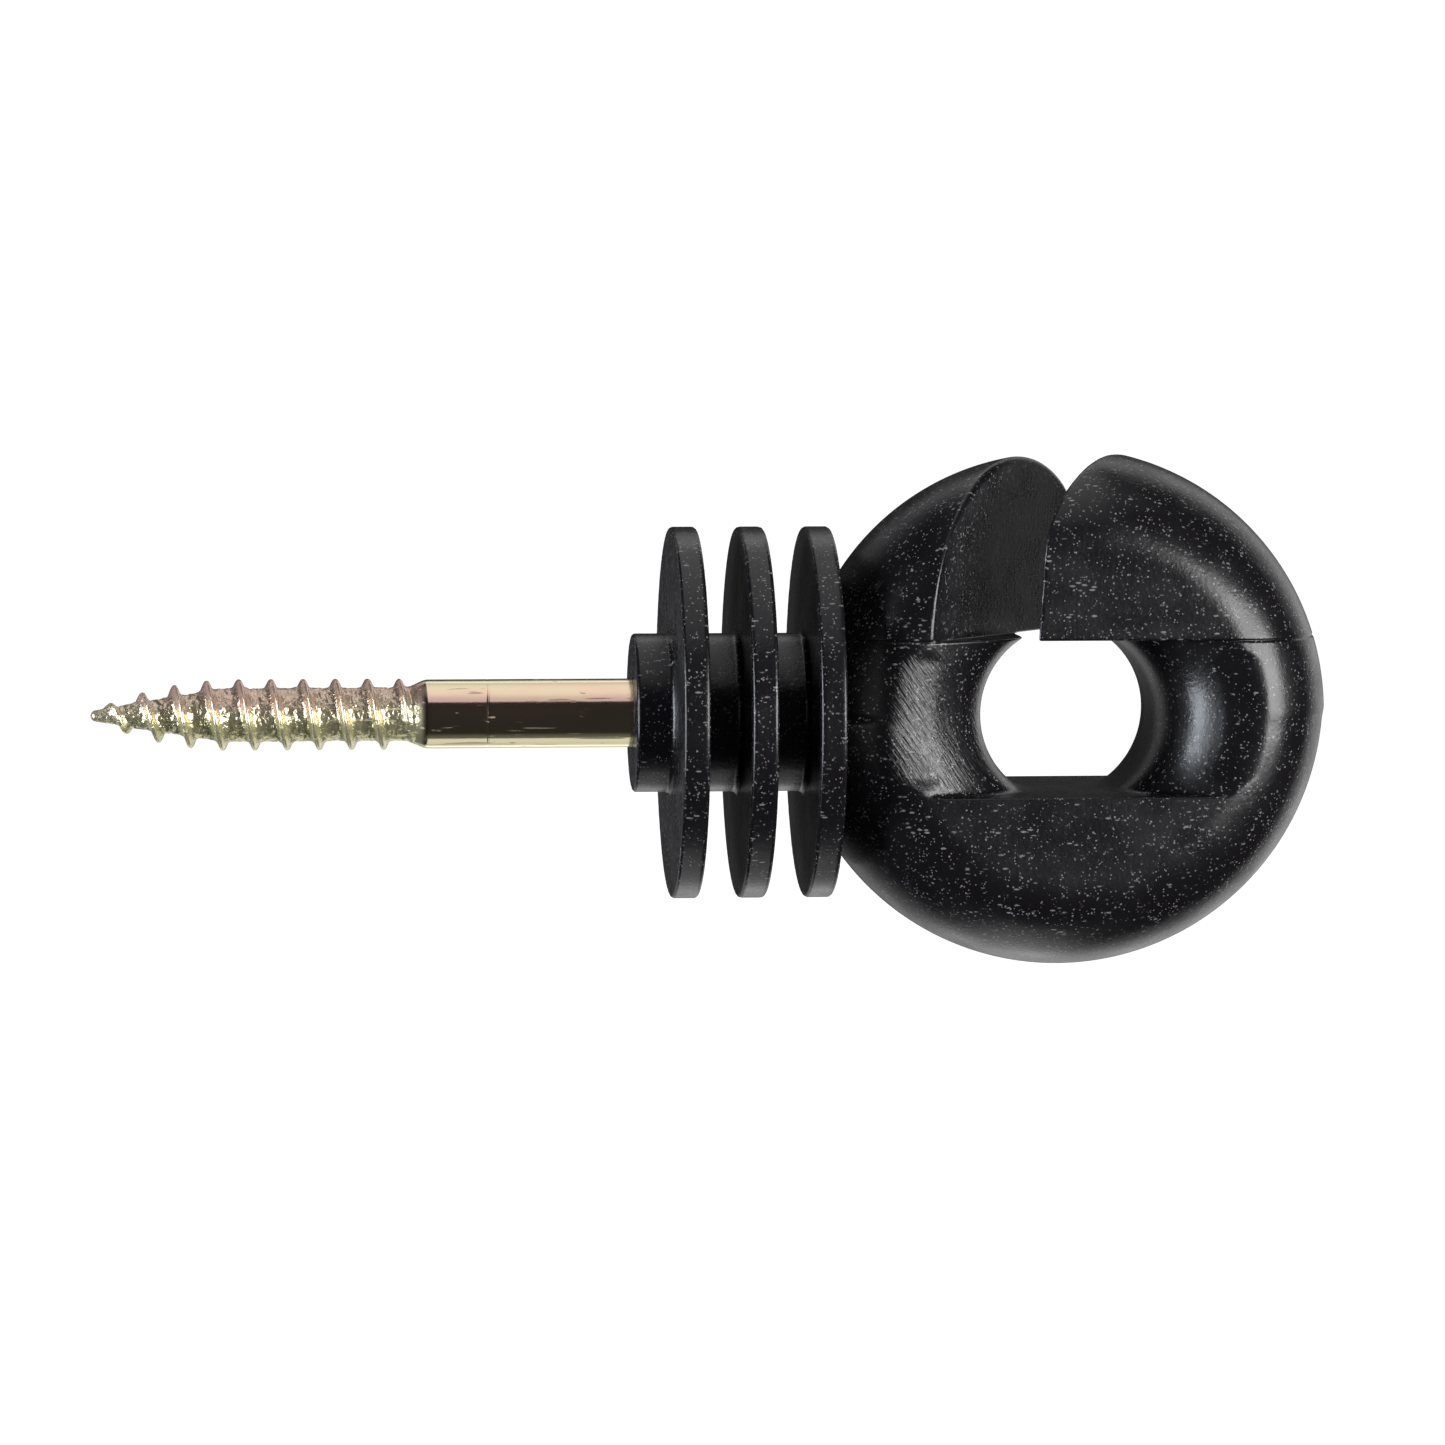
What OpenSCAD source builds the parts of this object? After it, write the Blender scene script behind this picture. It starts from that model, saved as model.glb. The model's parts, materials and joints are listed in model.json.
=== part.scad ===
// Ring insulator for an electric fence rope, with a long-shank wood screw.
// Origin: on the screw's axis, where the shank leaves the hub's end face.
// +X runs along the screw towards the ring, +Y is through the ring's eye, +Z is towards the slot.

/* [Ring head] */
// Outer radius of the lip on the free side of the slot
free_lip_r = 22.3; // [21.5:0.1:23]
// Outer radius of the lip on the hub's side of the slot
hub_lip_r = 21.85; // [21.5:0.05:22.5]
// Distance from the eye's middle to the hub-side lip's centre, towards the hub
hub_lip_shift = 0.6; // [0:0.1:1]
// Outer radius of the belly below the eye
belly_r = 22.7; // [22:0.1:23]
// Distance from the eye's middle to the belly's centre, towards the hub
belly_shift = 0.5; // [0:0.1:1]
// Height of the belly's centre above the eye's middle
belly_rise = 1.2; // [0.5:0.1:1.5]
// Thickness between the flat front and back faces
head_t = 24; // [22:0.5:26]
// Radius of the arc that crowns the rim from front to back
crown_r = 16.6; // [15:0.1:18]
// Radius that softens the shoulder between the crown and a flat face
shoulder_r = 3; // [1:0.5:4]
// Distance from the hub's end face to the middle of the eye
eye_x = 36.6; // [36:0.1:38]

/* [Rope eye] */
// Radius of the eye at its narrowest, in the middle of the head
eye_r = 7.1; // [6.6:0.1:7.5]
// Radius that the eye flares to at the flat faces
mouth_r = 15; // [13:0.1:15.5]
// Height between the eye's flat floor and flat ceiling
eye_h = 13; // [12:0.1:13.4]

/* [Rope slot] */
// Width of the slot that lets the rope into the eye, at its bottom
slot_w = 7.4; // [7:0.1:8.5]
// Slant of the slot across the head, seen from above
slot_angle = 32; // [25:1:38]
// Lean of the slot away from the hub on its way up, seen from the front
slot_lean = 2.9; // [0:0.1:4]
// Draft of each of the slot's walls, which widens it towards the top
slot_draft = 0.5; // [0:0.1:1]
// Distance from the eye's middle to the middle of the slot's bottom, towards the hub
slot_shift = 0.5; // [0:0.1:1]

/* [Hub and fins] */
// Diameter of the hub
hub_d = 13.4; // [12.8:0.1:15]
// Diameter of the fins
fin_d = 31.4; // [28:0.1:33]
// Thickness of a fin
fin_t = 2.2; // [1.8:0.1:2.8]
// Distance from the hub's end face to the middle of the first fin
first_fin_x = 4.3; // [3:0.1:5]
// Distance from one fin to the next
fin_pitch = 5.65; // [5:0.05:5.8]
// Number of fins
fin_count = 3; // [2:1:3]
// Chamfer on the edges of a fin's rim
fin_chamfer = 0.25; // [0.1:0.05:0.4]

/* [Wood screw] */
// Diameter of the plain shank
shank_d = 5.8; // [5.6:0.1:5.9]
// Length of plain shank outside the plastic
shank_len = 17.2; // [12:0.1:25]
// Diameter over the thread's crests
thread_d = 6; // [5.9:0.1:6.2]
// Diameter at the thread's root
root_d = 4.4; // [4.2:0.1:4.6]
// Distance from one crest to the next
thread_pitch = 2.7; // [2.5:0.05:3]
// Length from the start of the shank to the point
thread_len = 28.3; // [26:0.1:35]
// Length over which the point grows to the full root diameter
point_len = 11; // [9:0.5:13]

/* [Moulded-in end of the screw] */
// Depth from the hub's end face to the screw's hex head
head_depth = 20; // [18:0.5:21]
// Width across the flats of the hex head
hex_af = 10; // [8:0.5:10]
// Height of the hex head
hex_h = 4; // [3:0.5:4]
// Diameter at the bottom of the grip grooves
groove_d = 4.8; // [4.4:0.1:5]
// Width of a grip groove
groove_w = 2; // [1:0.1:2.5]
// Distance from one grip groove to the next
groove_pitch = 5; // [4:0.5:5]
// Number of grip grooves
groove_count = 4; // [2:1:4]

/* [Hidden] */
$fn = 96;

// Room by which cutting shapes run past the surfaces that they cut
past = 1;

// Larger than the head every way, for the blocks that divide it
head_block = 2 * head_t;
shoulder_y = head_t / 2 - shoulder_r;
// The hub's core ends well inside the wall between the fins and the eye
hub_len = eye_x - eye_r - 4;

// The eye's wall is an arc through the waist and the rim of each mouth
flare_gap = mouth_r - eye_r;
flare_r = (pow(flare_gap, 2) + pow(head_t / 2, 2)) / (2 * flare_gap);
flare_reach = mouth_r + past;

// Lip of plastic that closes round the plain shank in front of the first groove
lip = 0.15;

// Thread geometry, measured from the point (0) to the start of the plain shank (thread_len)
thread_sides = 16;
ring_step = thread_pitch / thread_sides;
ring_count = floor(thread_len / ring_step);
point_r = 0.3;
crest_half = 0.2;
flank_half = 0.55;
crest_phase = 0.355;
runout_len = 2.1;
fade_len = 1.6;
tenon_len = 0.6;
tenon_r = 2.4;

function clamp01(v) = max(0, min(1, v));
function ease(v) = v * v * (3 - 2 * v);

// Core radius: a cone at the point, the root, then a rise to the shank's diameter
function core_r(s) =
    let (grow = clamp01(s / point_len))
    let (rise = ease(clamp01((s - thread_len + runout_len) / runout_len)))
    point_r + (root_d / 2 - point_r) * grow + (shank_d - root_d) / 2 * rise;

// Radius over the crests, which grows from the point and reaches its full size past the cone
function crest_r(s) =
    let (left = 1 - clamp01(s / (point_len + 1)))
    point_r + (thread_d / 2 - point_r) * (1 - left * left);

// Share of the crest's height at a distance t along the axis from the crest's middle
function crest_share(t) = clamp01((flank_half - abs(t)) / (flank_half - crest_half));

// The thread's height fades out where the shank begins
function thread_fade(s) = clamp01((thread_len - runout_len + fade_len / 2 - s) / fade_len);

// Right-hand thread: the crest moves along +X as the angle turns from +Y to +Z
function from_crest(s, turn) =
    let (t = s / thread_pitch - turn - crest_phase)
    (t - round(t)) * thread_pitch;

function thread_r(s, turn) =
    let (core = core_r(s))
    core + max(0, crest_r(s) - core) * crest_share(from_crest(s, turn)) * thread_fade(s);

function ring_points(x, radii) = [
    for (j = [0 : thread_sides - 1])
        [x, radii[j] * cos(360 * j / thread_sides), radii[j] * sin(360 * j / thread_sides)]
];
function side_angles() = [for (j = [0 : thread_sides - 1]) j / thread_sides];

insulator_body();
wood_screw();

// One black moulding: ring head, hub and fins, closed tight around the screw's end
module insulator_body() {
    color([0.13, 0.13, 0.15])
    difference() {
        union() {
            open_ring();
            hub_and_fins();
        }
        moulded_in_end();
    }
}

// Ring head with its eye and slot
module open_ring() {
    translate([eye_x, 0, 0]) difference() {
        difference() {
            ring_head();
            rope_slot();
        }
        eye_passage();
    }
}

module hub_and_fins() {
    along_x(0, hub_len) circle(d = hub_d);
    for (i = [0 : fin_count - 1]) {
        translate([first_fin_x + i * fin_pitch, 0, 0]) fin();
    }
}

// Steel wood screw: point, thread, plain shank and the end that the plastic holds
module wood_screw() {
    color([0.86, 0.76, 0.5])
    union() {
        thread();
        along_x(-shank_len, 0) circle(d = shank_d);
        moulded_in_end();
    }
}

// Extrudes a flat shape along the screw's axis from one X to another
module along_x(from, to) {
    translate([from, 0, 0]) rotate([90, 0, 90]) linear_extrude(to - from) children();
}

// Outer form of the ring: a lip on each side of the slot and a belly below the eye
module ring_head() {
    intersection() {
        head_round(free_lip_r, -1);
        free_side_block();
    }
    intersection() {
        translate([-hub_lip_shift, 0, 0]) head_round(hub_lip_r, -1);
        rotate([0, 0, 180]) free_side_block();
    }
    intersection() {
        translate([-belly_shift, 0, belly_rise]) head_round(belly_r, 1);
        translate([-head_block, -head_block, -head_block])
            cube([2 * head_block, 2 * head_block, head_block]);
    }
}

// Everything above the eye's middle on the free side of the slot's middle plane
module free_side_block() {
    rotate([0, 0, -slot_angle]) translate([0, -head_block, 0])
        cube([head_block, 2 * head_block, head_block]);
}

// A full round about Y with a crowned rim, whose seam points along seam_z (1 up, -1 down)
module head_round(outer_r, seam_z) {
    rotate([90, 0, 0]) rotate([0, 0, 90 * seam_z]) rotate_extrude() rim_section(outer_r);
}

// Half of the head's cross section: radius along X, thickness along Y
module rim_section(outer_r) {
    crown_centre = outer_r - crown_r;
    shoulder_x = crown_centre + sqrt(pow(crown_r - shoulder_r, 2) - pow(shoulder_y, 2));
    square_to(shoulder_x, head_t / 2);
    for (side = [0, 1]) {
        mirror([0, side]) translate([shoulder_x, shoulder_y]) circle(r = shoulder_r);
    }
    intersection() {
        translate([crown_centre, 0]) circle(r = crown_r);
        crown_wedge(crown_centre, atan2(shoulder_y, shoulder_x - crown_centre));
    }
}

// Wedge that keeps the part of the crown's circle between its two shoulders
module crown_wedge(crown_centre, half_angle) {
    wide = 2 * crown_r;
    polygon([
        [crown_centre, 0],
        [crown_centre + wide, -wide * tan(half_angle)],
        [crown_centre + wide, wide * tan(half_angle)]
    ]);
}

module square_to(reach, half) {
    translate([0, -half]) square([reach, 2 * half]);
}

// Space of the eye: flared to the front and back, flat above and below
module eye_passage() {
    intersection() {
        rotate([90, 0, 0]) rotate([0, 0, 90]) rotate_extrude() difference() {
            square_to(flare_reach, head_t / 2 + past);
            translate([eye_r + flare_r, 0]) circle(r = flare_r);
        }
        cube([2 * flare_reach + past, head_t + 3 * past, eye_h], center = true);
    }
}

// Slanting, leaning slot from the eye's ceiling out through the top
module rope_slot() {
    hub_side = head_block * tan(slot_lean - slot_draft);
    free_side = head_block * tan(slot_lean + slot_draft);
    rotate([90, 0, -slot_angle]) translate([-slot_shift, eye_h / 2, -head_block])
        linear_extrude(2 * head_block) polygon([
            [-slot_w / 2, 0],
            [slot_w / 2, 0],
            [slot_w / 2 + free_side, head_block],
            [-slot_w / 2 + hub_side, head_block]
        ]);
}

module fin() {
    half = fin_t / 2;
    r = fin_d / 2;
    rotate([0, 90, 0]) rotate_extrude() polygon([
        [0, -half],
        [r - fin_chamfer, -half],
        [r, -half + fin_chamfer],
        [r, half - fin_chamfer],
        [r - fin_chamfer, half],
        [0, half]
    ]);
}

// The screw's end inside the plastic: shank with grip grooves, then the hex head
module moulded_in_end() {
    difference() {
        along_x(0, head_depth) circle(d = shank_d);
        for (i = [0 : groove_count - 1]) {
            along_x(lip + i * groove_pitch, lip + i * groove_pitch + groove_w) difference() {
                circle(d = shank_d + past);
                circle(d = groove_d);
            }
        }
    }
    translate([head_depth, 0, 0]) rotate([0, 90, 0]) cylinder(d = hex_af / cos(30), h = hex_h, $fn = 6);
}

// Pointed wood thread, with a short tenon that runs into the shank
module thread() {
    tip_x = -shank_len - thread_len;
    turns = side_angles();
    rings = concat(
        [for (i = [0 : ring_count - 1]) let (s = i * ring_step)
            ring_points(tip_x + s, [for (turn = turns) thread_r(s, turn)])],
        [for (x = [-shank_len, -shank_len + tenon_len])
            ring_points(x, [for (turn = turns) x < -shank_len + tenon_len ? core_r(thread_len) : tenon_r])]
    );
    last = len(rings) - 1;
    polyhedron(
        points = [for (ring = rings) each ring],
        faces = concat(
            [[for (j = [0 : thread_sides - 1]) j]],
            [[for (j = [thread_sides - 1 : -1 : 0]) last * thread_sides + j]],
            [for (i = [0 : last - 1], j = [0 : thread_sides - 1])
                let (a = i * thread_sides + j, b = i * thread_sides + (j + 1) % thread_sides)
                each [[a, a + thread_sides, b + thread_sides], [a, b + thread_sides, b]]]
        )
    );
}
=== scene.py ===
"""Looks of the ring insulator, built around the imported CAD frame.

The black moulding is an implicit solid: its distance function is sampled on a grid, turned into
a mesh, thinned out, and every vertex is then put on the surface. The wood screw is a stack of
rings round its axis. Shapes are worked out in millimetres and written in metres.

+X runs along the screw towards the ring head, +Y towards the back of the ring and +Z towards
the side with the slot. The end of the ring head away from the screw is called its free side.
"""

import json
import math

import bmesh
import bpy
import numpy as np
import openvdb
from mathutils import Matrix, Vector, noise


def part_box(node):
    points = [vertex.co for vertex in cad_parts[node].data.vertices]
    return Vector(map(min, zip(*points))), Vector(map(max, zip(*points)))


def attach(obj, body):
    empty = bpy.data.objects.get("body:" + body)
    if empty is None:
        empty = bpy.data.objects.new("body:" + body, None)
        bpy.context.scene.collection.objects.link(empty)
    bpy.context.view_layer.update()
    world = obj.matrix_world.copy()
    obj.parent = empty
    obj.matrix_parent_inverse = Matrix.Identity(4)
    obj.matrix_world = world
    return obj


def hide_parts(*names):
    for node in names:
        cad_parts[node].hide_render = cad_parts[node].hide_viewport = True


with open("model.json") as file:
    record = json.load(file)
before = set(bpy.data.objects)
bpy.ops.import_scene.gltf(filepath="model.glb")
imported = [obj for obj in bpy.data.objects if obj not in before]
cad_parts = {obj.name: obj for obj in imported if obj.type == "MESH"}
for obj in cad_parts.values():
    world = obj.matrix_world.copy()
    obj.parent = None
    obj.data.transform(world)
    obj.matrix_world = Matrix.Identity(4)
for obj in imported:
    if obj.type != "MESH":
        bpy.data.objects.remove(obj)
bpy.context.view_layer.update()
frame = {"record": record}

MM = 0.001
RECORD_MOUNTS = {mount["name"]: mount for mount in frame["record"]["mounts"]}


# ---------------------------------------------------------------- sizes, in millimetres

EYE_X = RECORD_MOUNTS["rope_eye"]["pos_m"][0] / MM
SHANK_R = RECORD_MOUNTS["screw_shank"]["dims"]["r_mm"]
SHANK_LEN = RECORD_MOUNTS["screw_shank"]["dims"]["length_mm"]
CREST_R = RECORD_MOUNTS["wood_thread"]["dims"]["r_mm"]
EYE_R = RECORD_MOUNTS["rope_eye"]["dims"]["r_mm"]
HALF_HEAD = RECORD_MOUNTS["rope_eye"]["dims"]["length_mm"] / 2
TIP_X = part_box("wood_screw")[0][0] / MM
FIN_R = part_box("insulator_body")[1][1] / MM
THREAD_LEN = -TIP_X - SHANK_LEN

# Outline of the ring head: arcs whose centres are shifted towards the hub or raised
FREE_LIP_R = 22.3
HUB_LIP_R, HUB_LIP_SHIFT = 21.85, 0.6
BELLY_R, BELLY_SHIFT, BELLY_RISE = 22.7, 0.5, 1.2
LIP_CHANGE = math.radians(80), math.radians(100)
BELLY_CHANGE = -0.6, 0.6
CROWN_R = 16.6
SHOULDER_R = 6.5

# Eye and slot. The eye opens later and faster than the CAD's arc, where the photo's highlights lie
WAIST_R = EYE_R + 0.3
MOUTH_R = 14.2
FLARE_POWER = 4
FLARE_END = 1.1
HALF_EYE_H = 6.5
SLOT_ANGLE = math.radians(32)
SLOT_HALF_W, SLOT_SHIFT = 3.7, 0.5
SLOT_LEAN, SLOT_DRAFT = math.radians(2.9), math.radians(0.5)

# Hub and fins
HUB_R = 6.7
HUB_LEN = EYE_X - EYE_R - 4
FIN_HALF_T = 1.1
FIN_X = [4.3 + 5.65 * i for i in range(3)]

# Softened edges and corners of the moulding, and the heights between which they change
MOUTH_EDGE_R = 1.1
CRISP_EDGE_R = 0.22
LIP_EDGE_R = 0.6
CRISP_CHANGE = 4.6, 6.2
LIP_EDGE_CHANGE = 15, 20
FLARE_CORNER_R = 0.35
FIN_EDGE_R = 0.3
ROOT_FILLET_R = 0.45
BORE_EDGE_R = 0.05

# Parting line: its groove's depth and width, and how far from the ring's outside it fades
PARTING_DEPTH, PARTING_W = 0.05, 0.09
PARTING_FADE = 1.6, 0.4
PARTING_CUTS = (-2.0, -1.2, -0.6, 0, 0.6, 1.2, 2.0)

# Screw
ROOT_R = 2.2
POINT_R = 0.4
POINT_LEN = 11.0
PITCH = 2.7
CREST_PHASE = 0.355
CREST_HALF_W, CREST_POWER = 0.29, 3.2
RUNOUT_LEN = 2.1
DENT_DEPTH = 0.10
COARSE_DENTS, FINE_DENTS, FINE_DENT_SHARE = 2.4, 4.6, 0.7
CREST_SMOOTHING, SMOOTH_HEIGHT = 0.85, 0.4
SCORE_TO_THREAD, SCORE_HALF_W, SCORE_DEPTH = 5.0, 0.06, 0.02
GRIP_LIP, GRIP_PITCH, GRIP_W, GRIP_R, GRIP_COUNT = 0.15, 5.0, 2.0, 2.4, 4
HEX_X, HEX_H, HEX_HALF_AF = 20.0, 4.0, 5.0
BORE_GAP = 0.02

# Meshing
VOXEL = 0.24
GRID_MARGIN = 3 * VOXEL
BODY_TRIANGLES = 170_000
LEAST_STEEPNESS = 0.25
SCREW_SIDES = 96
THREAD_RING_STEP = 0.09
SHANK_RING_STEP = 0.4

# Light, in metres and as radiance
LIGHT_DISTANCE = 0.7
WORLD_LEAST = 0.025


# ---------------------------------------------------------------- shader nodes


def new_material(name):
    material = bpy.data.materials.new(name)
    material.use_nodes = True
    return material


def combined(nodes, links, operation, first, second):
    """The result of one operation on two values, each a number or the output of a node."""
    node = nodes.new("ShaderNodeMath")
    node.operation = operation
    for socket, value in zip(node.inputs, (first, second)):
        if isinstance(value, (int, float)):
            socket.default_value = value
        else:
            links.new(value, socket)
    return node.outputs[0]


def ramp_between(nodes, links, value, low, high, low_result, high_result):
    """A smooth step from one result to another while the value goes from low to high."""
    ramp = nodes.new("ShaderNodeMapRange")
    ramp.interpolation_type = "SMOOTHSTEP"
    ramp.inputs["From Min"].default_value = low
    ramp.inputs["From Max"].default_value = high
    ramp.inputs["To Min"].default_value = low_result
    ramp.inputs["To Max"].default_value = high_result
    links.new(value, ramp.inputs["Value"])
    return ramp.outputs[0]


def colour_ramp(nodes, links, value, *stops):
    """A colour ramp with stops given as (position, grey) or (position, (r, g, b))."""
    node = nodes.new("ShaderNodeValToRGB")
    elements = node.color_ramp.elements
    while len(elements) < len(stops):
        elements.new(0.5)
    for element, (position, look) in zip(elements, stops):
        colour = look if isinstance(look, tuple) else (look, look, look)
        element.position = position
        element.color = (*colour, 1)
    links.new(value, node.inputs[0])
    return node.outputs[0]


def noise_at(nodes, links, place, scale, detail, roughness=0.5):
    """Cloudy noise between 0 and 1, with its finest layers set by detail and roughness."""
    node = nodes.new("ShaderNodeTexNoise")
    node.inputs["Scale"].default_value = scale
    node.inputs["Detail"].default_value = detail
    node.inputs["Roughness"].default_value = roughness
    links.new(place, node.inputs["Vector"])
    return node.outputs["Fac"]


def object_place(nodes):
    """Object coordinates in metres."""
    return nodes.new("ShaderNodeTexCoord").outputs["Object"]


def stretched(nodes, links, place, scale):
    """Coordinates scaled by a different factor along each axis."""
    mapping = nodes.new("ShaderNodeMapping")
    mapping.inputs["Scale"].default_value = scale
    links.new(place, mapping.inputs["Vector"])
    return mapping.outputs["Vector"]


def separated(nodes, links, place):
    """The outputs X, Y and Z of a set of coordinates."""
    split = nodes.new("ShaderNodeSeparateXYZ")
    links.new(place, split.inputs[0])
    return split.outputs


def dots(nodes, links, place, scale, size, patch_scale, patch_low):
    """Small round dots about 1 / scale metres apart, kept only in patches."""
    cells = nodes.new("ShaderNodeTexVoronoi")
    cells.inputs["Scale"].default_value = scale
    links.new(place, cells.inputs["Vector"])
    shape = ramp_between(nodes, links, cells.outputs["Distance"], size, size / 2, 0, 1)
    patches = noise_at(nodes, links, place, patch_scale, 2)
    kept = ramp_between(nodes, links, patches, patch_low, patch_low + 0.08, 0, 1)
    return combined(nodes, links, "MULTIPLY", shape, kept)


def bumped(nodes, links, height, distance, strength, under=None):
    """Normals bent by a height, whose full range is distance metres, on top of other normals."""
    bump = nodes.new("ShaderNodeBump")
    bump.inputs["Distance"].default_value = distance
    if isinstance(strength, float):
        bump.inputs["Strength"].default_value = strength
    else:
        links.new(strength, bump.inputs["Strength"])
    links.new(height, bump.inputs["Height"])
    if under:
        links.new(under, bump.inputs["Normal"])
    return bump.outputs[0]


# ---------------------------------------------------------------- camera, floor and light


def add_object(name, data):
    obj = bpy.data.objects.new(name, data)
    bpy.context.collection.objects.link(obj)
    return obj


def make_camera():
    """Looks at the object from the front, a little from the hub's side and from above."""
    yaw, pitch, distance = math.radians(5), math.radians(3.9), 0.5185
    right = Vector((math.cos(yaw), -math.sin(yaw), 0))
    level = Vector((math.sin(yaw), math.cos(yaw), 0))
    ahead = level * math.cos(pitch) - Vector((0, 0, math.sin(pitch)))
    up = right.cross(ahead)
    eye = Vector((EYE_X * MM, 0, 0))
    aim_left, aim_low = 0.0288, 0.00104
    target = eye - right * aim_left - up * aim_low
    camera = add_object("camera", bpy.data.cameras.new("camera"))
    camera.location = target - ahead * distance
    camera.rotation_mode = "QUATERNION"
    camera.rotation_quaternion = ahead.to_track_quat("-Z", "Y")
    camera.data.lens = 152
    camera.data.sensor_width = 36
    camera.data.clip_start = 0.05
    camera.data.clip_end = 10
    bpy.context.scene.camera = camera


def make_backdrop():
    """A plain white floor far below the object and a white dome, seen only by the camera."""
    floor_z, reach = -0.3, 4.0
    floor = bpy.data.meshes.new("floor")
    shape = bmesh.new()
    bmesh.ops.create_circle(shape, cap_ends=True, segments=64, radius=reach)
    bmesh.ops.translate(shape, verts=shape.verts, vec=(0, 0, floor_z))
    shape.to_mesh(floor)
    shape.clear()
    dome = bpy.data.meshes.new("backdrop")
    bmesh.ops.create_uvsphere(shape, u_segments=64, v_segments=32, radius=reach)
    shape.to_mesh(dome)
    shape.free()
    for mesh in (floor, dome):
        mesh.materials.append(white_backdrop(mesh.name))
        obj = add_object(mesh.name, mesh)
        obj.visible_diffuse = False
        obj.visible_glossy = False
        obj.visible_shadow = False


def white_backdrop(name):
    """Plain white, bright enough to show no horizon."""
    material = new_material(name)
    shader = material.node_tree.nodes["Principled BSDF"]
    shader.inputs["Base Color"].default_value = (0.9, 0.9, 0.9, 1)
    shader.inputs["Roughness"].default_value = 0.9
    shader.inputs["Emission Color"].default_value = (1, 1, 1, 1)
    shader.inputs["Emission Strength"].default_value = 1.0
    return material


def direction(azimuth, elevation):
    """Unit vector: azimuth 0 is towards the front, 90 towards the free side, in degrees."""
    azimuth, elevation = math.radians(azimuth), math.radians(elevation)
    level = Vector((math.sin(azimuth), -math.cos(azimuth), 0))
    return level * math.cos(elevation) + Vector((0, 0, math.sin(elevation)))


def add_softbox(name, azimuth, elevation, size, radiance, tint=(1, 1, 1)):
    """A rectangular soft light, sizes in metres, turned towards the object."""
    light = bpy.data.lights.new(name, "AREA")
    light.shape = "RECTANGLE"
    light.size, light.size_y = size
    light.energy = radiance * math.pi * light.size * light.size_y
    light.color = tint
    obj = add_object(name, light)
    away = direction(azimuth, elevation)
    obj.location = Vector((0.5 * EYE_X * MM, 0, 0)) + LIGHT_DISTANCE * away
    obj.rotation_mode = "QUATERNION"
    obj.rotation_quaternion = (-away).to_track_quat("-Z", "Y")


def make_world():
    """Surroundings: pale behind, above and below, nearly dark elsewhere and straight behind."""
    world = bpy.data.worlds.new("studio")
    world.use_nodes = True
    nodes, links = world.node_tree.nodes, world.node_tree.links
    away = nodes.new("ShaderNodeTexCoord").outputs["Generated"]
    along = separated(nodes, links, away)
    total = WORLD_LEAST
    for axis, low, high, strength in (
        ("Y", 0.6, 0.73, 0.66),
        ("Z", 0.8, 1.0, 0.25),
        ("Z", -0.9, -1.0, 0.1),
    ):
        pale = ramp_between(nodes, links, along[axis], low, high, 0, strength)
        total = combined(nodes, links, "ADD", pale, total)
    toward = nodes.new("ShaderNodeVectorMath")
    toward.operation = "DOT_PRODUCT"
    toward.inputs[1].default_value = direction(180, 8)
    links.new(away, toward.inputs[0])
    behind = ramp_between(nodes, links, toward.outputs["Value"], 0.87, 0.95, 1, 0.05)
    total = combined(nodes, links, "MULTIPLY", total, behind)
    # Everything is brighter towards the free side than towards the screw
    side = ramp_between(nodes, links, along["X"], -0.6, 0.4, 0.45, 1.3)
    total = combined(nodes, links, "MULTIPLY", total, side)
    nodes["Background"].inputs["Color"].default_value = (1, 1, 1, 1)
    links.new(total, nodes["Background"].inputs["Strength"])
    bpy.context.scene.world = world


def make_stage():
    make_camera()
    make_backdrop()
    make_world()
    add_softbox("softbox_key", 45, 4, (0.48, 0.38), 10.0)
    add_softbox("softbox_hub_side", -75, 0, (0.34, 0.5), 11.0, (0.86, 0.92, 1.0))
    add_softbox("striplight_top", 0, 90, (0.3, 1.5), 0.66)
    add_softbox("striplight_below", 180, -63, (0.22, 0.75), 0.72)
    bpy.context.scene.view_settings.view_transform = "Standard"


# ---------------------------------------------------------------- distance functions


def rounded_max(a, b, r):
    """Common part of two solids whose shared edge is rounded to radius r."""
    both = np.hypot(np.maximum(r + a, 0), np.maximum(r + b, 0))
    return np.minimum(-r, np.maximum(a, b)) + both


def rounded_min(a, b, r):
    """Union of two solids whose shared corner is filled to radius r."""
    both = np.hypot(np.maximum(r - a, 0), np.maximum(r - b, 0))
    return np.maximum(r, np.minimum(a, b)) - both


def ease(low, high, value):
    """Smooth step from 0 at low to 1 at high; low may be the larger one."""
    t = np.clip((value - low) / (high - low), 0, 1)
    return t * t * (3 - 2 * t)


def rounded_box(across, along, half_across, half_along, r):
    """Flat distance to a box about the origin with its edges rounded to radius r."""
    u = np.abs(across) - half_across + r
    v = np.abs(along) - half_along + r
    outside = np.hypot(np.maximum(u, 0), np.maximum(v, 0))
    return outside + np.minimum(np.maximum(u, v), 0) - r


def arc_reach(angle, radius, shift, rise):
    """Distance from the eye's middle to an arc whose centre is shifted and raised."""
    along = shift * np.cos(angle) + rise * np.sin(angle)
    across = shift * np.sin(angle) - rise * np.cos(angle)
    return along + np.sqrt(radius**2 - across**2)


def outer_reach(x, z):
    """Outer radius of the ring: one arc on each side of the slot and one below the eye."""
    angle = np.arctan2(z, x)
    free = arc_reach(angle, FREE_LIP_R, 0, 0)
    hub_side = arc_reach(angle, HUB_LIP_R, -HUB_LIP_SHIFT, 0)
    belly = arc_reach(angle, BELLY_R, -BELLY_SHIFT, BELLY_RISE)
    # One lip's arc turns into the other's at the top of the ring, where the slot crosses it
    upper = free + (hub_side - free) * ease(*LIP_CHANGE, np.abs(angle))
    return belly + (upper - belly) * ease(*BELLY_CHANGE, z)


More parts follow.
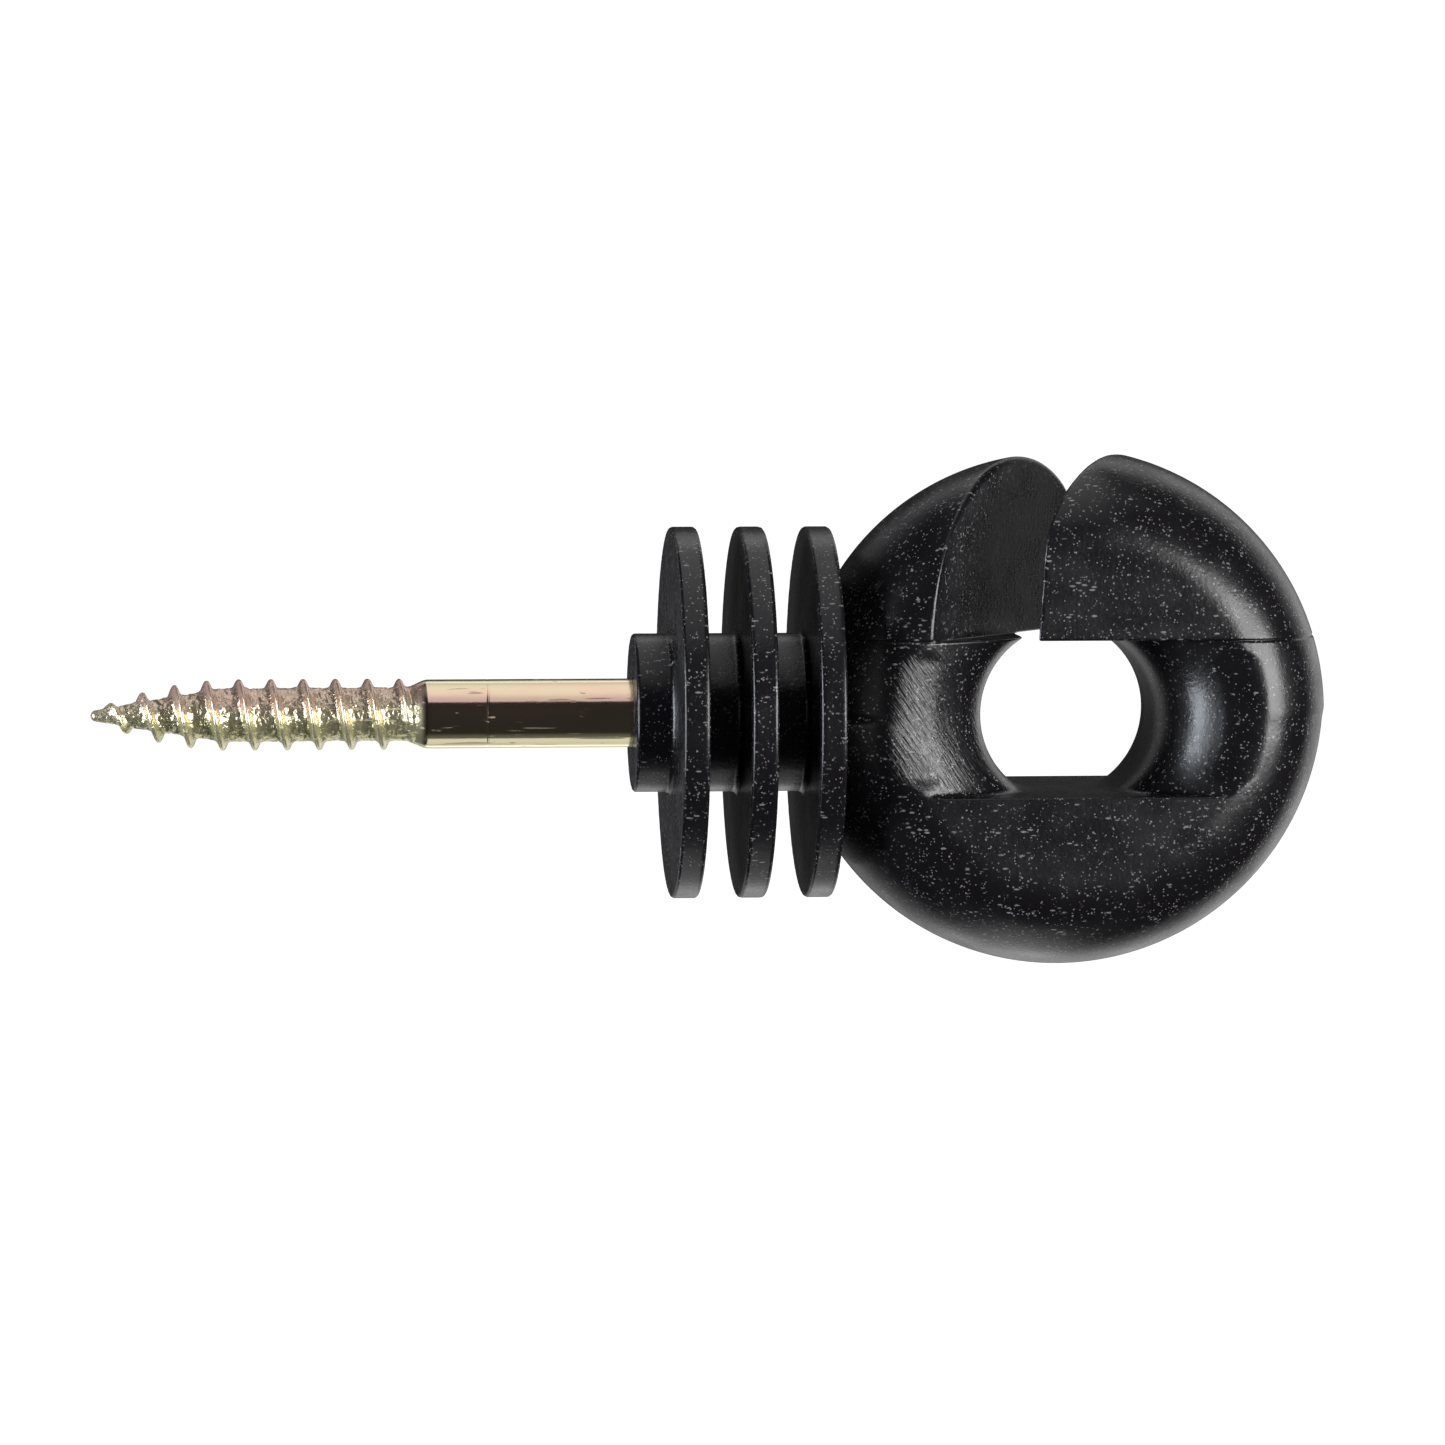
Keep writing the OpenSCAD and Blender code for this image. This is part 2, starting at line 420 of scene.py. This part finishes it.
def ring_outside(x, y, z):
    """The ring without its eye and slot: flat faces, softened shoulders and a crowned rim."""
    q = np.hypot(x, z)
    thick = np.abs(y)
    centre = outer_reach(x, z) - CROWN_R
    shoulder_y = HALF_HEAD - SHOULDER_R
    shoulder_q = centre + math.sqrt((CROWN_R - SHOULDER_R) ** 2 - shoulder_y**2)
    crown = np.hypot(q - centre, thick) - CROWN_R
    shoulder = np.hypot(q - shoulder_q, thick - shoulder_y) - SHOULDER_R
    turned = thick * (shoulder_q - centre) > shoulder_y * (q - centre)
    side = np.where(q > shoulder_q, shoulder, thick - HALF_HEAD)
    return np.where(turned, side, crown)


def ring_inside(x, y, z):
    """Solid left by the flared eye and the slanting slot."""
    opening = MOUTH_R - WAIST_R
    depth = np.minimum(np.abs(y) / HALF_HEAD, FLARE_END)
    slope = FLARE_POWER * opening / HALF_HEAD * depth ** (FLARE_POWER - 1)
    wall_q = WAIST_R + opening * depth**FLARE_POWER
    flare = (wall_q - np.hypot(x, z)) / np.hypot(1, slope)
    above = z - HALF_EYE_H
    across = x * math.cos(SLOT_ANGLE) - y * math.sin(SLOT_ANGLE) + SLOT_SHIFT
    past_hub_side = math.tan(SLOT_LEAN - SLOT_DRAFT) * above - SLOT_HALF_W - across
    past_free_side = across - SLOT_HALF_W - math.tan(SLOT_LEAN + SLOT_DRAFT) * above
    outside_slot = np.maximum(past_hub_side, past_free_side)
    below_eye = rounded_min(flare, z + HALF_EYE_H, FLARE_CORNER_R)
    lower = rounded_max(above, below_eye, CRISP_EDGE_R)
    upper = rounded_max(-above, -outside_slot, CRISP_EDGE_R)
    return rounded_min(upper, lower, CRISP_EDGE_R)


def ring(x, y, z):
    """The whole ring head: soft edges at the eye's mouth and the lips, crisp ones elsewhere."""
    crisp = ease(*CRISP_CHANGE, np.abs(z))
    lip = ease(*LIP_EDGE_CHANGE, z)
    edge_r = MOUTH_EDGE_R + (CRISP_EDGE_R - MOUTH_EDGE_R) * crisp + (LIP_EDGE_R - CRISP_EDGE_R) * lip
    return rounded_max(ring_outside(x, y, z), ring_inside(x, y, z), edge_r)


def hub_and_fins(x, y, z):
    """The hub with its three fins, filleted at their roots."""
    q = np.hypot(y, z)
    hub = rounded_box(q, x - HUB_LEN / 2, HUB_R, HUB_LEN / 2, FIN_EDGE_R)
    fins = [rounded_box(q, x - fin_x, FIN_R, FIN_HALF_T, FIN_EDGE_R) for fin_x in FIN_X]
    return rounded_min(hub, np.minimum.reduce(fins), ROOT_FILLET_R)


def screw_space(x, y, z):
    """Space for the screw's moulded-in end: shank with grip grooves, then the hex head."""
    q = np.hypot(y, z)
    radius = np.full_like(x, SHANK_R)
    for i in range(GRIP_COUNT):
        start = GRIP_LIP + i * GRIP_PITCH
        radius = np.where((x > start) & (x < start + GRIP_W), GRIP_R, radius)
    shank = np.maximum(q - radius, x - HEX_X - 1)
    flats = [np.abs(y * math.cos(a) + z * math.sin(a)) for a in np.radians([0, 60, 120])]
    beside = np.maximum.reduce(flats) - HEX_HALF_AF
    hex_head = np.maximum(beside, np.abs(x - HEX_X - HEX_H / 2) - HEX_H / 2)
    return np.minimum(shank, hex_head) - BORE_GAP


def moulding(x, y, z):
    """Distance to the black moulding, negative inside the plastic."""
    head = ring(x - EYE_X, y, z)
    plastic = rounded_min(head, hub_and_fins(x, y, z), ROOT_FILLET_R)
    return rounded_max(plastic, -screw_space(x, y, z), BORE_EDGE_R)


def parting_groove(x, y, z):
    """Depth of the hairline where the two halves of the mould meet, on the ring's outside."""
    outside = ease(*PARTING_FADE, np.abs(ring_outside(x - EYE_X, y, z)))
    return PARTING_DEPTH * outside * np.exp(-(((z - HALF_EYE_H) / PARTING_W) ** 2))


def finished(points):
    """Distance of an array of points to the moulding with its parting line."""
    x, y, z = points.T
    return moulding(x, y, z) + parting_groove(x, y, z)


def slopes(points, reach=0.02):
    """Outward directions of the finished surface at an array of points."""
    steps = np.eye(3) * reach
    rises = [finished(points + step) - finished(points - step) for step in steps]
    return np.stack(rises, axis=1) / (2 * reach)


def settle(points, rounds=3):
    """Moves points onto the finished surface, about a voxel a round at the most."""
    for _ in range(rounds):
        slope = slopes(points)
        steep = np.maximum((slope**2).sum(axis=1), LEAST_STEEPNESS)
        step = finished(points) / steep
        points = points - np.clip(step, -VOXEL, VOXEL)[:, None] * slope
    return points


# ---------------------------------------------------------------- black moulding


def sample_moulding():
    """The moulding's distance on a grid, and the grid's first corner."""
    low, high = (np.array(corner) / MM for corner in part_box("insulator_body"))
    low, high = low - GRID_MARGIN, high + GRID_MARGIN
    counts = np.ceil((high - low) / VOXEL).astype(int)
    xs, ys, zs = (low[i] + VOXEL * np.arange(counts[i]) for i in range(3))
    field = np.empty(counts, dtype=np.float32)
    for i, x in enumerate(xs):
        grid_y, grid_z = np.meshgrid(ys, zs, indexing="ij")
        field[i] = moulding(np.full_like(grid_y, x), grid_y, grid_z)
    return field, low


def polygonised():
    """Points in millimetres and faces of the sampled moulding."""
    field, low = sample_moulding()
    grid = openvdb.FloatGrid(background=GRID_MARGIN)
    grid.copyFromArray(np.clip(field, -GRID_MARGIN, GRID_MARGIN))
    points, quads = grid.convertToQuads(isovalue=0)
    return settle(points.astype(float) * VOXEL + low), quads


def mesh_of(name, points, faces):
    """A mesh, left in the units of the points."""
    mesh = bpy.data.meshes.new(name)
    mesh.from_pydata(points.tolist(), [], faces.tolist())
    mesh.validate()
    mesh.update()
    return mesh


def thinned(mesh, triangles):
    """The same mesh with about the asked number of triangles."""
    obj = add_object("thinning", mesh)
    thin = obj.modifiers.new("thin", "DECIMATE")
    thin.ratio = min(1.0, triangles / (2 * len(mesh.polygons)))
    seen = obj.evaluated_get(bpy.context.evaluated_depsgraph_get())
    result = bpy.data.meshes.new_from_object(seen)
    bpy.data.objects.remove(obj)
    bpy.data.meshes.remove(mesh)
    return result


def cut_along_parting(mesh):
    """Adds edge loops on both sides of the parting line, so that its groove has a shape."""
    shape = bmesh.new()
    shape.from_mesh(mesh)
    for cut in PARTING_CUTS:
        middle = (0, 0, HALF_EYE_H + cut * PARTING_W)
        parts = shape.verts[:] + shape.edges[:] + shape.faces[:]
        bmesh.ops.bisect_plane(shape, geom=parts, dist=1e-4, plane_co=middle, plane_no=(0, 0, 1))
    bmesh.ops.triangulate(shape, faces=shape.faces[:])
    shape.to_mesh(mesh)
    shape.free()


def make_body():
    """The moulding: meshed, thinned, cut, then settled with normals from the distance function."""
    points, quads = polygonised()
    mesh = thinned(mesh_of("insulator_moulding", points, quads), BODY_TRIANGLES)
    cut_along_parting(mesh)
    flat = np.empty(3 * len(mesh.vertices))
    mesh.vertices.foreach_get("co", flat)
    points = settle(flat.reshape(-1, 3))
    normals = slopes(points)
    normals /= np.maximum(np.linalg.norm(normals, axis=1), 1e-6)[:, None]
    mesh.vertices.foreach_set("co", (points * MM).ravel())
    mesh.polygons.foreach_set("use_smooth", [True] * len(mesh.polygons))
    mesh.update()
    mesh.normals_split_custom_set_from_vertices(normals.tolist())
    mesh.name = "insulator_moulding"
    mesh.materials.clear()
    mesh.materials.append(black_plastic())
    body = add_object("insulator_moulding", mesh)
    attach(body, "root")
    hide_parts("insulator_body")
    print("moulding", len(mesh.vertices), "vertices", len(mesh.polygons), "faces")


# ---------------------------------------------------------------- wood screw


def core_radius(s):
    """Radius between the crests at a distance s from the tip."""
    grow = ROOT_R - (ROOT_R - POINT_R) * max(0.0, 1 - s / POINT_LEN)
    tip = min(1.0, math.sqrt(max(0.0, s * (2 * POINT_R - min(s, POINT_R)))) / POINT_R)
    rise = float(ease(THREAD_LEN - RUNOUT_LEN, THREAD_LEN, s))
    return grow * tip + (SHANK_R - ROOT_R) * rise


def crest_radius(s):
    """Radius over the crests, which reach their full height just past the point."""
    left = max(0.0, 1 - s / (POINT_LEN + 1))
    return POINT_R + (CREST_R - POINT_R) * (1 - left * left)


def thread_radius(s, turn):
    """Radius at a distance s from the tip and at a share of a turn, from +Y towards +Z."""
    wave = s / PITCH - turn - CREST_PHASE
    off_crest = (wave - round(wave)) * PITCH
    share = 1 / (1 + (abs(off_crest) / CREST_HALF_W) ** CREST_POWER)
    off_shank = float(ease(THREAD_LEN - 0.9, THREAD_LEN - RUNOUT_LEN - 0.5, s))
    off_tip = float(ease(0.2, 1.0, s))
    fade = off_shank * off_tip
    core = core_radius(s)
    return core + max(0.0, crest_radius(s) - core) * share * fade


def dented(x, turn, radius, depth):
    """Radius with the small dents that thread rolling and plating leave."""
    place = Vector((x, radius * math.cos(math.tau * turn), radius * math.sin(math.tau * turn)))
    rough = noise.noise(place * COARSE_DENTS) + FINE_DENT_SHARE * noise.noise(place * FINE_DENTS)
    return radius + depth * rough


def thread_rings():
    """Rings of the point and the thread, as (x, radii); the dents lie mostly between the crests."""
    count = int(THREAD_LEN / THREAD_RING_STEP)
    rings = []
    for i in range(1, count + 1):
        s = THREAD_LEN * i / count
        off_shank = float(ease(THREAD_LEN - 0.4, THREAD_LEN - 2.4, s))
        off_tip = float(ease(0.2, 2.0, s))
        dent = DENT_DEPTH * off_shank * off_tip
        core = core_radius(s)
        radii = []
        for j in range(SCREW_SIDES):
            turn = j / SCREW_SIDES
            radius = thread_radius(s, turn)
            smooth = min(1.0, (radius - core) / SMOOTH_HEIGHT)
            radii.append(dented(TIP_X + s, turn, radius, dent * (1 - CREST_SMOOTHING * smooth)))
        rings.append((TIP_X + s, radii))
    return rings


def hex_radii():
    """Distance from the axis to the flats of the hex head, all the way round."""
    radii = []
    for j in range(SCREW_SIDES):
        angle = math.tau * j / SCREW_SIDES
        past_flat = (angle + math.pi / 6) % (math.pi / 3) - math.pi / 6
        radii.append(HEX_HALF_AF / math.cos(past_flat))
    return radii


def hidden_rings():
    """Rings of the end inside the plastic: grip grooves, then the hex head."""
    even = [SHANK_R] * SCREW_SIDES
    deep = [GRIP_R] * SCREW_SIDES
    rings = []
    for i in range(GRIP_COUNT):
        start = GRIP_LIP + i * GRIP_PITCH
        end = start + GRIP_W
        rings += [(start, even), (start, deep), (end, deep), (end, even)]
    rings += [(HEX_X, even), (HEX_X, hex_radii()), (HEX_X + HEX_H, hex_radii())]
    return rings


def shank_rings():
    """Plain shank, with the faint ring that the rolling left on it."""
    score_x = -SHANK_LEN + SCORE_TO_THREAD
    places = np.arange(-SHANK_LEN + 0.3, -0.2, SHANK_RING_STEP).tolist()
    places += [score_x - SCORE_HALF_W, score_x, score_x + SCORE_HALF_W]
    rings = []
    for x in sorted(places):
        depth = SCORE_DEPTH if x == score_x else 0
        rings.append((x, [SHANK_R - depth] * SCREW_SIDES))
    return rings


def stacked(name, tip_x, rings):
    """A closed mesh in metres through rings given as (x, radii), from a tip to a flat end."""
    points = [(tip_x, 0, 0)]
    for x, radii in rings:
        for j, r in enumerate(radii):
            angle = math.tau * j / SCREW_SIDES
            points.append((x, r * math.cos(angle), r * math.sin(angle)))
    points.append((rings[-1][0], 0, 0))
    faces = []
    for j in range(SCREW_SIDES):
        k = (j + 1) % SCREW_SIDES
        faces.append((0, 1 + k, 1 + j))
        for i in range(len(rings) - 1):
            a, b = 1 + i * SCREW_SIDES, 1 + (i + 1) * SCREW_SIDES
            faces.append((a + j, a + k, b + k, b + j))
        last = 1 + (len(rings) - 1) * SCREW_SIDES
        faces.append((last + j, last + k, len(points) - 1))
    mesh = bpy.data.meshes.new(name)
    mesh.from_pydata((np.array(points) * MM).tolist(), [], faces)
    mesh.validate()
    shape = bmesh.new()
    shape.from_mesh(mesh)
    bmesh.ops.recalc_face_normals(shape, faces=shape.faces[:])
    shape.to_mesh(mesh)
    shape.free()
    return mesh


def make_screw():
    mesh = stacked("plated_screw", TIP_X, thread_rings() + shank_rings() + hidden_rings())
    mesh.polygons.foreach_set("use_smooth", [True] * len(mesh.polygons))
    mesh.set_sharp_from_angle(angle=math.radians(50))
    mesh.materials.append(yellow_zinc())
    screw = add_object("plated_screw", mesh)
    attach(screw, "root")
    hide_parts("wood_screw")
    print("screw", len(mesh.vertices), "vertices", len(mesh.polygons), "faces")


# ---------------------------------------------------------------- materials


def black_plastic():
    """Satin black moulded plastic with painted glints as pale spots and short lines, grain, flow and
    drag marks.
    """
    material = new_material("black_plastic")
    nodes, links = material.node_tree.nodes, material.node_tree.links
    shader = nodes["Principled BSDF"]
    shader.inputs["IOR"].default_value = 1.5
    place = object_place(nodes)
    long_place = stretched(nodes, links, place, (0.35, 1, 1))

    # Painted glints: pale spots and short lines in the base colour stand for light caught by tiny
    # pits
    speck_glints = dots(nodes, links, place, scale=2100, size=0.24, patch_scale=900, patch_low=0.48)
    fine_glints = dots(nodes, links, place, scale=3400, size=0.28, patch_scale=1500, patch_low=0.47)
    dash_glints = dots(nodes, links, long_place, scale=2300, size=0.26, patch_scale=900, patch_low=0.51)
    pale = combined(nodes, links, "MAXIMUM", speck_glints, fine_glints)
    pale = combined(nodes, links, "MAXIMUM", pale, dash_glints)
    # Base colour: the plastic's own near black, with the painted glints in pale grey
    colour = nodes.new("ShaderNodeMixRGB")
    colour.inputs[1].default_value = (0.0062, 0.0054, 0.0067, 1)
    colour.inputs[2].default_value = (0.21, 0.205, 0.215, 1)
    links.new(pale, colour.inputs[0])
    links.new(colour.outputs[0], shader.inputs["Base Color"])

    flow = noise_at(nodes, links, place, scale=260, detail=4)
    satin = colour_ramp(nodes, links, flow, (0.3, 0.22), (0.7, 0.34))
    links.new(satin, shader.inputs["Roughness"])

    grain = noise_at(nodes, links, place, scale=2600, detail=3, roughness=0.6)
    normal = bumped(nodes, links, grain, distance=0.00006, strength=0.35)
    drag = drag_marks(nodes, links)
    normal = bumped(nodes, links, drag, distance=0.00011, strength=0.9, under=normal)
    links.new(normal, shader.inputs["Normal"])
    return material


def drag_marks(nodes, links):
    """Slanting streaks on the hub's side of the eye, where the mould dragged."""
    place = object_place(nodes)
    turned = nodes.new("ShaderNodeMapping")
    turned.inputs["Rotation"].default_value = (0, math.radians(-55), 0)
    links.new(place, turned.inputs["Vector"])
    drawn_out = stretched(nodes, links, turned.outputs["Vector"], (420, 900, 4200))
    streaks = noise_at(nodes, links, drawn_out, scale=1.0, detail=3, roughness=0.6)
    along = separated(nodes, links, place)
    off_middle = combined(nodes, links, "ABSOLUTE", along["Z"], 0)
    area = None
    for value, nothing, full in (
        (along["X"], EYE_X - 6, EYE_X - 9),
        (off_middle, HALF_EYE_H, HALF_EYE_H - 2),
        (along["X"], EYE_X - 18, EYE_X - 16),
    ):
        part = ramp_between(nodes, links, value, nothing * MM, full * MM, 0, 1)
        area = combined(nodes, links, "MULTIPLY", area, part) if area else part
    return combined(nodes, links, "MULTIPLY", streaks, area)


def yellow_zinc():
    """Zinc plated steel: a yellow passivation drifting to pink and green, with painted sheen by
    height.
    """
    material = new_material("yellow_zinc_steel")
    nodes, links = material.node_tree.nodes, material.node_tree.links
    shader = nodes["Principled BSDF"]
    place = object_place(nodes)
    long_place = stretched(nodes, links, place, (0.35, 1, 1))
    along = separated(nodes, links, place)
    thread_x = -(SHANK_LEN + 0.2) * MM
    on_thread = ramp_between(nodes, links, along["X"], thread_x, -(SHANK_LEN + 0.8) * MM, 0, 1)

    # Painted sheen: the tint changes from the bottom to the top of the screw, as the coat's sheen
    # changes with the way it faces
    height = nodes.new("ShaderNodeMapRange")
    height.inputs["From Min"].default_value = -SHANK_R * MM
    height.inputs["From Max"].default_value = SHANK_R * MM
    height.inputs["To Min"].default_value = -0.2
    height.inputs["To Max"].default_value = 0.75
    links.new(along["Z"], height.inputs["Value"])
    # The noise drift is the passivation's own uneven colour
    drift = noise_at(nodes, links, long_place, scale=420, detail=2)
    drift = combined(nodes, links, "MULTIPLY", drift, 0.5)
    drift_and_painted_sheen = combined(nodes, links, "ADD", height.outputs[0], drift)
    greener = combined(nodes, links, "MULTIPLY", on_thread, -0.3)
    drift_and_painted_sheen = combined(nodes, links, "ADD", drift_and_painted_sheen, greener)
    plating_and_painted_sheen = colour_ramp(
        nodes,
        links,
        drift_and_painted_sheen,
        (0.05, (0.80, 0.76, 0.46)),
        (0.35, (0.80, 0.68, 0.50)),
        (0.70, (0.88, 0.59, 0.50)),
        (0.86, (0.89, 0.69, 0.49)),
        (1.00, (0.84, 0.75, 0.50)),
    )
    links.new(plating_and_painted_sheen, shader.inputs["Base Color"])

    flecks = dots(nodes, links, long_place, scale=1900, size=0.26, patch_scale=700, patch_low=0.52)
    drawn_out = stretched(nodes, links, place, (180, 1500, 2600))
    scratches = noise_at(nodes, links, drawn_out, scale=1, detail=1)
    scratches = ramp_between(nodes, links, scratches, 0.66, 0.7, 0, 1)
    worn = combined(nodes, links, "MAXIMUM", flecks, scratches)
    dull = combined(nodes, links, "MULTIPLY", worn, 0.35)
    rougher = combined(nodes, links, "MULTIPLY", on_thread, 0.12)
    dull = combined(nodes, links, "ADD", dull, rougher)
    links.new(combined(nodes, links, "ADD", dull, 0.13), shader.inputs["Roughness"])
    less_metal = combined(nodes, links, "MULTIPLY", on_thread, -0.25)
    links.new(combined(nodes, links, "ADD", less_metal, 1.0), shader.inputs["Metallic"])

    ripple = noise_at(nodes, links, long_place, scale=900, detail=3, roughness=0.6)
    normal = bumped(nodes, links, ripple, distance=0.00003, strength=0.25)
    axis_distance = nodes.new("ShaderNodeVectorMath")
    axis_distance.operation = "LENGTH"
    links.new(stretched(nodes, links, place, (0, 1, 1)), axis_distance.inputs[0])
    crests, roots = (ROOT_R + 0.55) * MM, (ROOT_R + 0.25) * MM
    in_roots = ramp_between(nodes, links, axis_distance.outputs["Value"], crests, roots, 0.15, 1)
    hammering = combined(nodes, links, "MULTIPLY", on_thread, in_roots)
    dents = noise_at(nodes, links, place, scale=1900, detail=3, roughness=0.65)
    normal = bumped(nodes, links, dents, distance=0.00013, strength=hammering, under=normal)
    links.new(normal, shader.inputs["Normal"])
    return material


# ---------------------------------------------------------------- everything together

make_stage()
make_body()
make_screw()
